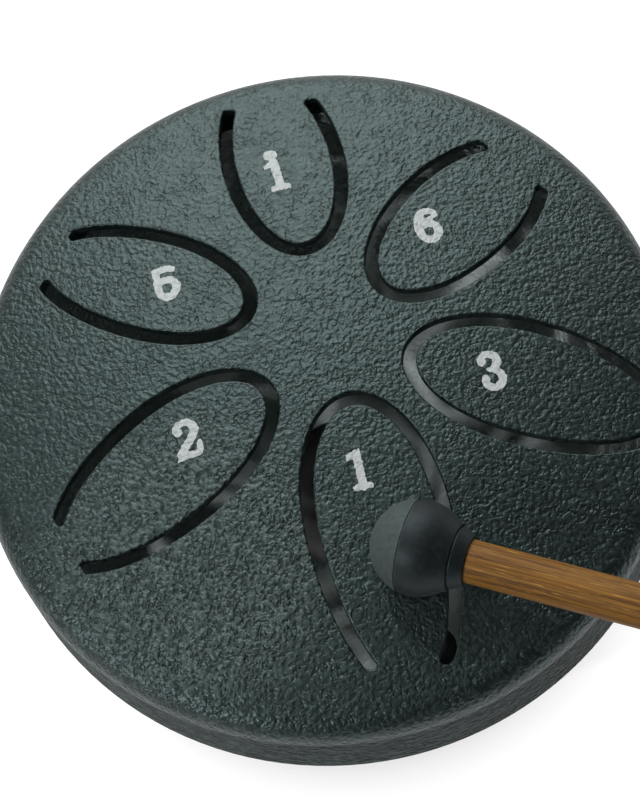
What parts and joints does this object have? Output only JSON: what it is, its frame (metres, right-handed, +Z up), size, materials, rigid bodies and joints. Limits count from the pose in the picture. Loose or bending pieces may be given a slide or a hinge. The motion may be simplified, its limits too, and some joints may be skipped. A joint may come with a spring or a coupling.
{
  "type": "steel tongue drum",
  "caption": "Small round steel tongue drum: domed top with six slotted tongues, tapering bowl with a sound hole, rubber feet, and a rubber-headed wooden mallet.",
  "frame": {"origin": "on the drum's axis, in the plane of the four feet that it stands on", "axes": "+Z up along the drum's axis; the longest tongue points to -Y and the shortest to +Y"},
  "size_m": [0.136, 0.1184, 0.0636],
  "materials": {
    "coated_steel": "wrinkled matt powder coat",
    "foot_rubber": "matt",
    "mallet_rubber": "satin",
    "stained_wood": "stained, satin"
  },
  "bodies": {
    "drum": {"top_shell": "coated_steel", "bottom_shell": "coated_steel", "foot_right": "foot_rubber", "foot_back": "foot_rubber", "foot_left": "foot_rubber", "foot_front": "foot_rubber"},
    "mallet": {"mallet_head": "mallet_rubber", "mallet_stick": "stained_wood"}
  },
  "joints": [
    {"name": "mallet_lift", "type": "slide", "parent": "drum", "child": "mallet", "axis": [0, 0, 1], "range_m": [0, 0.06]}
  ]
}
